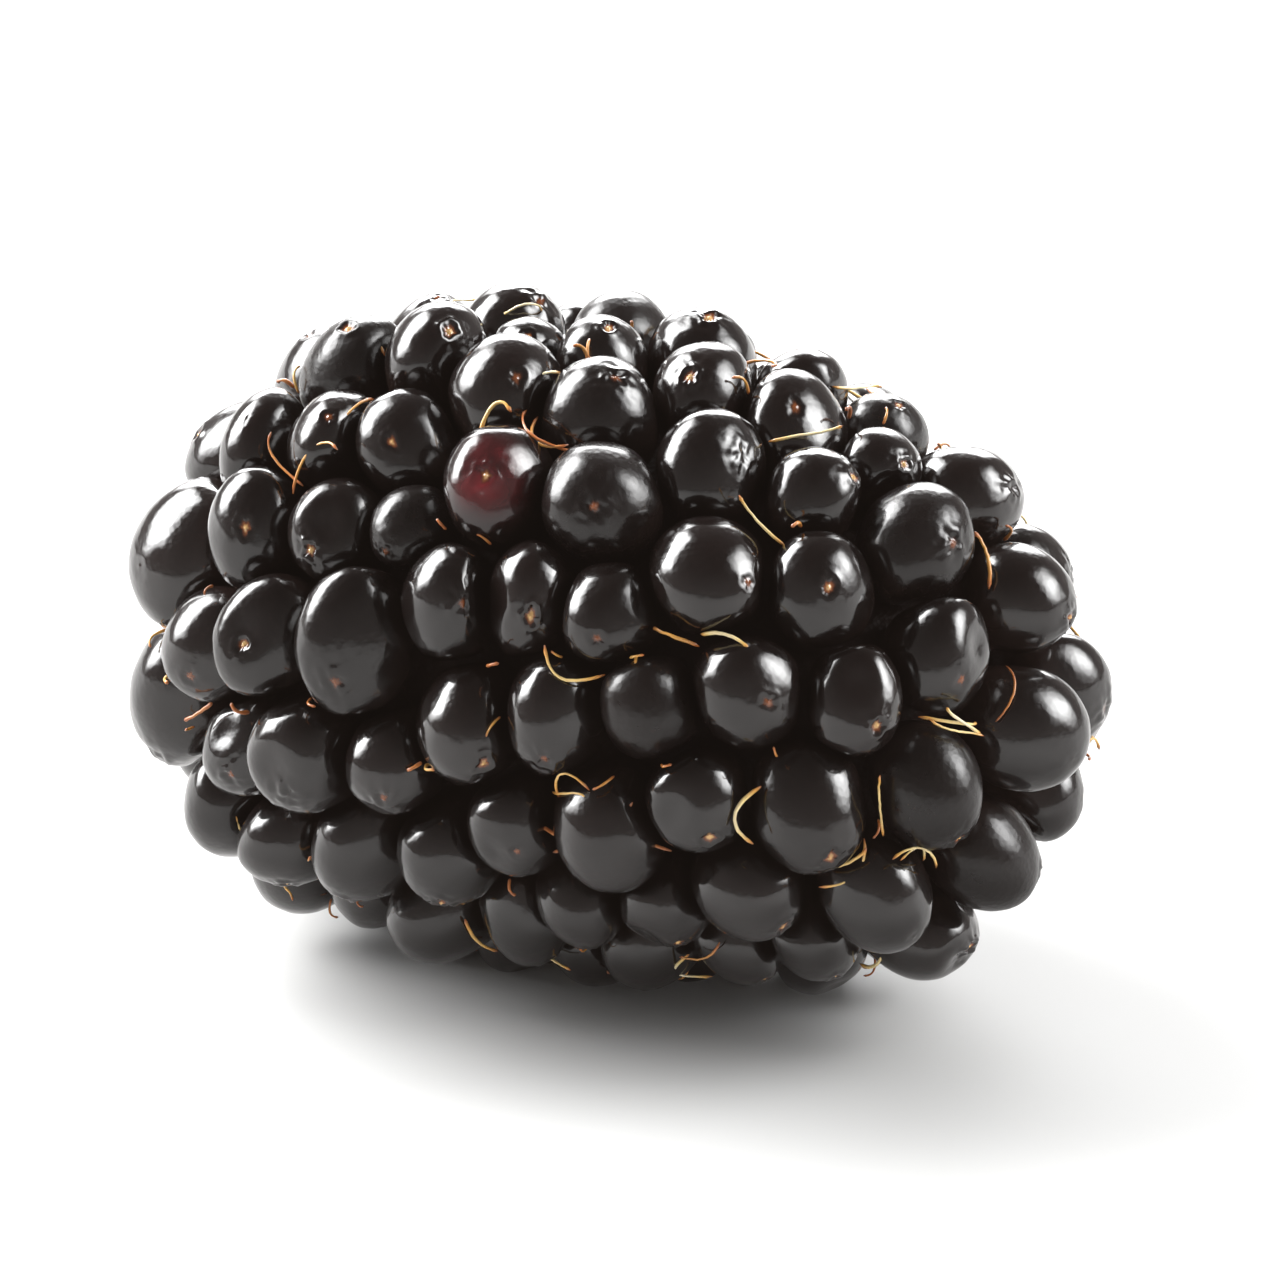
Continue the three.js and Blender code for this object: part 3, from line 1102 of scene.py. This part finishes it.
def make_softbox(name, target, low_end, high_end, distance, width, brightness, feather):
    """A strip of light seen from the target between two directions, of a given brightness."""
    low, high = studio_direction(*low_end), studio_direction(*high_end)
    facing = (low + high).normalized()
    length = 2 * distance * math.tan(low.angle(high) / 2)
    light = bpy.data.lights.new(name, "AREA")
    light.shape = "RECTANGLE"
    light.size = width
    light.size_y = length
    light.energy = brightness * math.pi * width * length
    fade_edges(light, feather)
    lamp = bpy.data.objects.new(name, light)
    long_way = (high - low).normalized()
    axes = Matrix((long_way.cross(facing), long_way, facing)).transposed()
    lamp.matrix_world = Matrix.Translation(target + facing * distance) @ axes.to_4x4()
    lamp.visible_camera = False
    bpy.context.scene.collection.objects.link(lamp)


def make_floor():
    mesh = bpy.data.meshes.new("floor")
    corners = [(x * FLOOR_REACH, y * FLOOR_REACH, 0) for x, y in ((-1, -1), (1, -1), (1, 1), (-1, 1))]
    mesh.from_pydata(corners, [], [(0, 1, 2, 3)])
    mesh.materials.append(floor_material())
    floor = bpy.data.objects.new("floor", mesh)
    bpy.context.scene.collection.objects.link(floor)


def make_world():
    """White behind the floor, soft on matt surfaces, and in reflections dim and darkest overhead."""
    world = bpy.data.worlds.new("studio")
    world.use_nodes = True
    tree = world.node_tree
    ray = tree.nodes.new("ShaderNodeLightPath")
    towards = tree.nodes.new("ShaderNodeSeparateXYZ")
    tree.links.new(tree.nodes.new("ShaderNodeTexCoord").outputs["Generated"], towards.inputs[0])
    colour = blended(tree, towards.outputs["Z"], ROOM_AT_HORIZON, ROOM_OVERHEAD)
    colour = blended(tree, ray.outputs["Is Diffuse Ray"], colour, ROOM_ON_MATT)
    colour = blended(tree, ray.outputs["Is Camera Ray"], colour, ROOM_SEEN)
    tree.links.new(colour, tree.nodes["Background"].inputs["Color"])
    bpy.context.scene.world = world


def make_camera(low, high):
    """Fits the berry's width into the view. Returns the place that the camera looks at."""
    camera = bpy.data.cameras.new("camera")
    camera.lens = LENS
    camera.sensor_width = SENSOR
    camera.clip_start = CLIP_START
    camera.clip_end = CLIP_END
    taken = bpy.data.objects.new("camera", camera)
    width = (high.x - low.x) * math.cos(VIEW_AZIMUTH) + (high.y - low.y) * math.sin(VIEW_AZIMUTH)
    distance = width / VIEW_SHARE * LENS / SENSOR
    back = studio_direction(0, -math.cos(VIEW_ELEVATION), math.sin(VIEW_ELEVATION))
    target = (low + high) / 2
    taken.location = target + back * distance
    taken.rotation_mode = "QUATERNION"
    taken.rotation_quaternion = back.to_track_quat("Z", "Y")
    bpy.context.scene.collection.objects.link(taken)
    bpy.context.scene.camera = taken
    return target


def veil_lens():
    """Lifts the blacks a little, as stray light in a lens does."""
    view = bpy.context.scene.view_settings
    view.view_transform = "Standard"
    view.use_curve_mapping = True
    view.curve_mapping.black_level = [-share for share in LENS_VEIL]
    view.curve_mapping.update()


# ---- The scene ----------------------------------------------------------------------------------

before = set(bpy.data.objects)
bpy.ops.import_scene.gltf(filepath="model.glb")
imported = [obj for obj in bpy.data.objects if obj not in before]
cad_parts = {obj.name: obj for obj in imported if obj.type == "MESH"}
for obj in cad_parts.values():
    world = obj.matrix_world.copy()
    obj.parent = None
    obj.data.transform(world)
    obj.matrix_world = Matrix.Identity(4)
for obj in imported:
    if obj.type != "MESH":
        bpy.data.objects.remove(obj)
cad_low, cad_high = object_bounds()

target = make_camera(cad_low, cad_high)
veil_lens()
make_world()
for name, settings in SOFTBOXES.items():
    make_softbox(name, target, **settings)
make_floor()

detail = np.random.RandomState(DETAIL_SEED)
grain = grain_group()
places, sizes, stands, spins = spiral()
places = settle(places, sizes)
shift = make_drupelets(places, sizes, stands, spins, grain, detail)
make_receptacle(grain, shift)
make_styles(places, grain, detail, shift)
